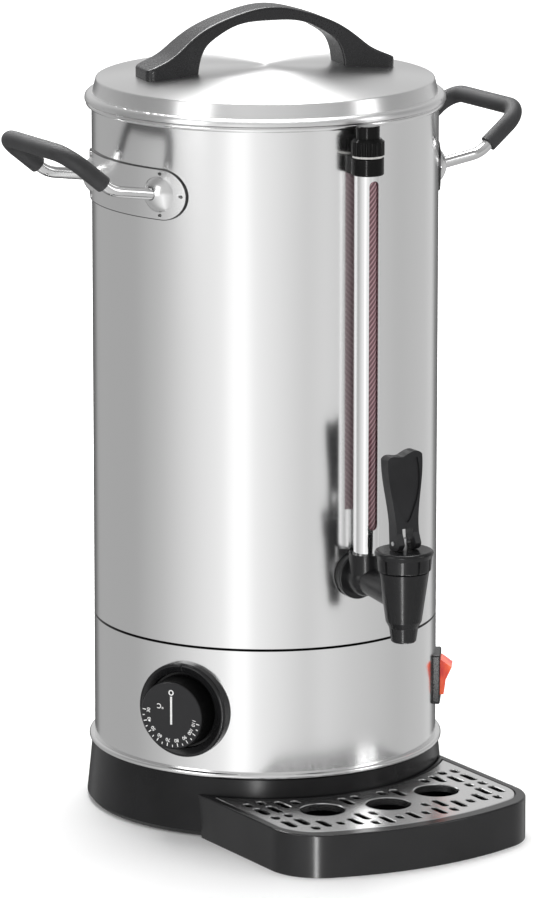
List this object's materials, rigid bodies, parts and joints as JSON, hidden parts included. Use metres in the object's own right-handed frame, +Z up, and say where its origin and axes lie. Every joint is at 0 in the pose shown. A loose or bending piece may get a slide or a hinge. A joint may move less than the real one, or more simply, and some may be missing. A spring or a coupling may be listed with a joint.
{
  "type": "hot water urn",
  "caption": "Tall stainless hot water urn with a lift-off lid, two side handles, sight gauge, lever tap, thermostat knob, rocker switch and a loose drip tray with grille.",
  "frame": {"origin": "on the urn's upright axis, level with the bottom of its rubber feet", "axes": "+Z up, -Y to the front where the tap and tray are, +X to the right when looking from the back, so the knob is at -X and the switch at +X"},
  "size_m": [0.377, 0.356, 0.561],
  "materials": {
    "body_steel": "satin, near mirror",
    "lid_steel": "brushed in rings",
    "base_plastic": "gloss",
    "tray_plastic": "gloss",
    "grille_steel": "satin",
    "tap_plastic": "gloss",
    "lever_plastic": "satin",
    "handle_plastic": "matte",
    "grip_plastic": "matte",
    "rod_steel": "polished",
    "bracket_steel": "satin",
    "knob_plastic": "satin with white printed numbers",
    "bezel_plastic": "gloss",
    "switch_plastic": "gloss",
    "rocker_red": "translucent red-orange",
    "shield_steel": "polished",
    "gauge_glass": "clear with a red spiral",
    "gauge_black": "gloss",
    "seal_white": "matt",
    "black_rubber": "matt",
    "plain_steel": "plain",
    "spreader_aluminium": "cast",
    "element_metal": "heat darkened",
    "thermostat_plastic": "matt",
    "copper_tube": "plain",
    "terminal_white": "matt",
    "spring_steel": "bright"
  },
  "bodies": {
    "urn": {"base_ring": "base_plastic", "base_plate": "plain_steel", "base_feet": "black_rubber", "tie_rods": "plain_steel", "tie_rod_nuts": "plain_steel", "lower_housing": "body_steel", "tank": "body_steel", "tank_floor": "body_steel", "heating_element": "element_metal", "heat_spreader": "spreader_aluminium", "thermal_cutout": "thermostat_plastic", "knob_bezel": "bezel_plastic", "thermostat_body": "thermostat_plastic", "thermostat_screws": "plain_steel", "thermostat_bulb": "copper_tube", "switch_housing": "switch_plastic", "terminal_block": "terminal_white", "cable_gland": "tap_plastic", "gland_nut": "tap_plastic", "handle_rod_left": "rod_steel", "handle_rod_right": "rod_steel", "handle_grip_left": "grip_plastic", "handle_grip_right": "grip_plastic", "handle_bracket_left": "bracket_steel", "handle_bracket_right": "bracket_steel", "gauge_shield": "shield_steel", "gauge_glass": "gauge_glass", "gauge_bracket": "gauge_black", "gauge_wall_nut": "plain_steel", "gauge_cap_seal": "seal_white", "gauge_cap": "gauge_black", "tap_body": "tap_plastic", "tap_nut": "tap_plastic", "tap_flange_seal": "black_rubber", "tap_bonnet": "tap_plastic", "tap_spring": "spring_steel"},
    "lid": {"lid": "lid_steel", "lid_handle": "handle_plastic", "lid_handle_screws": "plain_steel"},
    "knob": {"thermostat_knob": "knob_plastic", "thermostat_shaft": "plain_steel"},
    "rocker": {"switch_rocker": "rocker_red"},
    "tap_valve": {"tap_stem": "plain_steel", "tap_seat": "black_rubber", "lever_pin": "plain_steel"},
    "lever": {"tap_lever": "lever_plastic"},
    "tray": {"drip_tray": "tray_plastic"},
    "grille": {"drip_grille": "grille_steel"}
  },
  "joints": [
    {"name": "lid_lift", "type": "slide", "parent": "urn", "child": "lid", "axis": [0, 0, 1], "range_m": [0, 0.15]},
    {"name": "knob_turn", "type": "hinge", "parent": "urn", "child": "knob", "pos_m": [-0.10254, -0.06234, 0.0886], "axis": [0.8545, 0.5195, 0], "range_deg": [0, 260]},
    {"name": "switch_rock", "type": "hinge", "parent": "urn", "child": "rocker", "pos_m": [0.10038, -0.07108, 0.0868], "axis": [-0.5779, -0.8161, 0], "range_deg": [0, 32]},
    {"name": "stem_lift", "type": "slide", "parent": "urn", "child": "tap_valve", "axis": [0, 0, 1], "range_m": [0, 0.003], "deforming": ["tap_spring"]},
    {"name": "lever_tilt", "type": "hinge", "parent": "tap_valve", "child": "lever", "pos_m": [0, -0.1805, 0.2178], "axis": [1, 0, 0], "range_deg": [0, 75]},
    {"name": "tray_slide", "type": "slide", "parent": "urn", "child": "tray", "axis": [0, -1, 0], "range_m": [0, 0.15]},
    {"name": "grille_lift", "type": "slide", "parent": "tray", "child": "grille", "axis": [0, 0, 1], "range_m": [0, 0.02]}
  ],
  "couplings": [
    {"joint": "stem_lift", "follows": "lever_tilt", "m_per_rad": 0.0022918}
  ]
}
